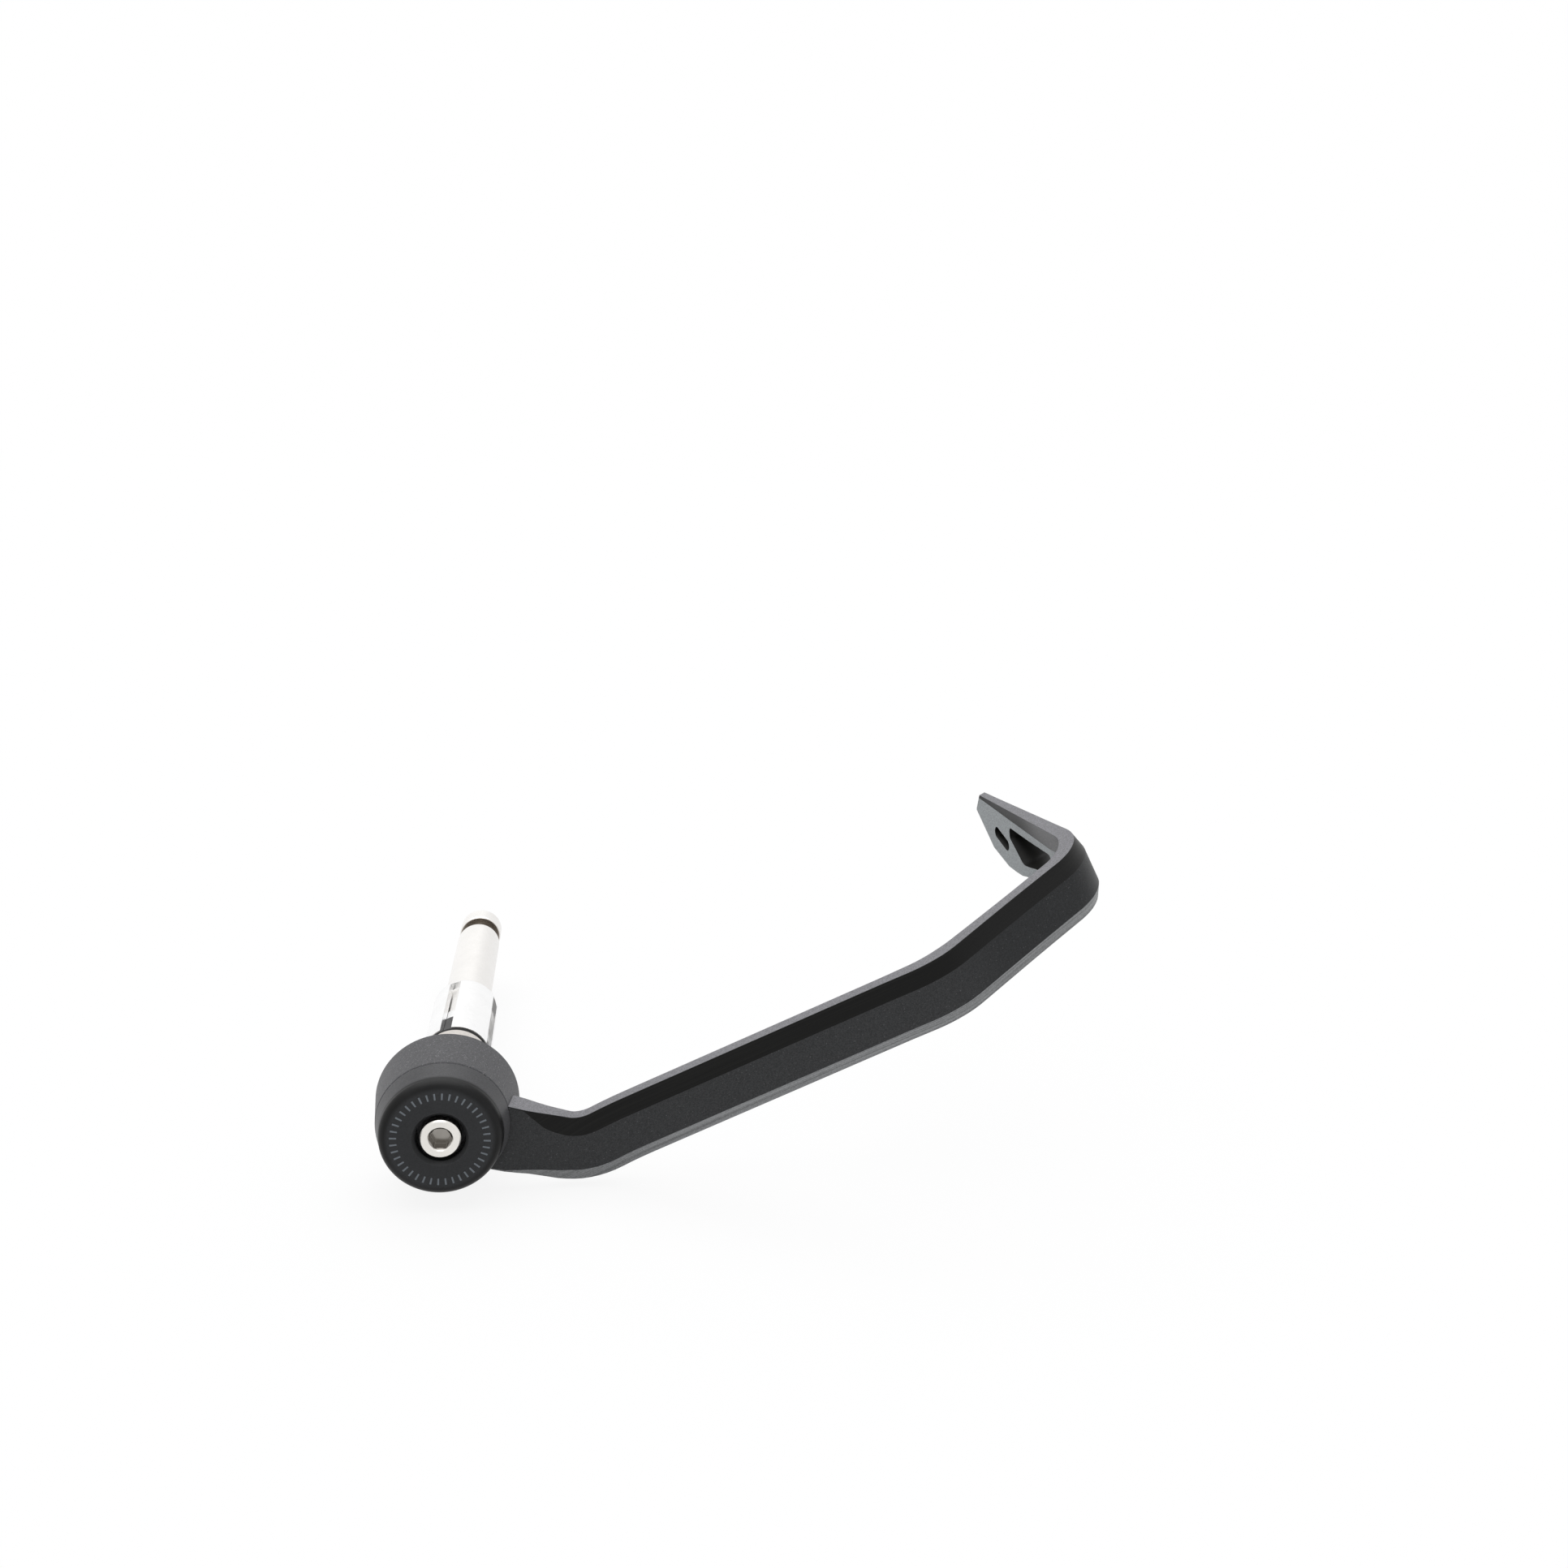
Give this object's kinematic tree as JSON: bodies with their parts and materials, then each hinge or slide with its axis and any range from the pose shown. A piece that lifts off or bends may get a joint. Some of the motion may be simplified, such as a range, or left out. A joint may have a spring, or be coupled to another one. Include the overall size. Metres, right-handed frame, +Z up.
{
  "type": "brake lever guard",
  "caption": "Curved bar that shields a motorcycle hand lever, bolted under a round bar-end weight, with an expanding sleeve and damper bar that fix inside the handlebar tube.",
  "frame": {"origin": "on the clamp axis, in the seat face where the end of the handlebar tube stops", "axes": "+Y along the clamp axis into the handlebar, +X from the clamp out along the arm, +Z up, away from the side the arm drops to"},
  "size_m": [0.1953, 0.1595, 0.0535],
  "materials": {
    "cap_polymer": "satin moulded, dark grey",
    "screw_steel": "bright stainless",
    "arm_anodised": "machined, dark grey anodised with a fine sparkle",
    "weight_anodised": "turned, grey anodised",
    "insert_aluminium": "turned, bright and plain",
    "ring_rubber": "black",
    "cone_black": "black anodised"
  },
  "bodies": {
    "root": {"end_cap": "cap_polymer", "cap_screw": "screw_steel", "guard_arm": "arm_anodised", "bar_weight": "weight_anodised", "seat_collar": "insert_aluminium", "rubber_ring": "ring_rubber", "expander_cone": "cone_black", "cone_nut": "insert_aluminium", "clamp_sleeve": "insert_aluminium", "damper_bar": "insert_aluminium"}
  },
  "joints": []
}
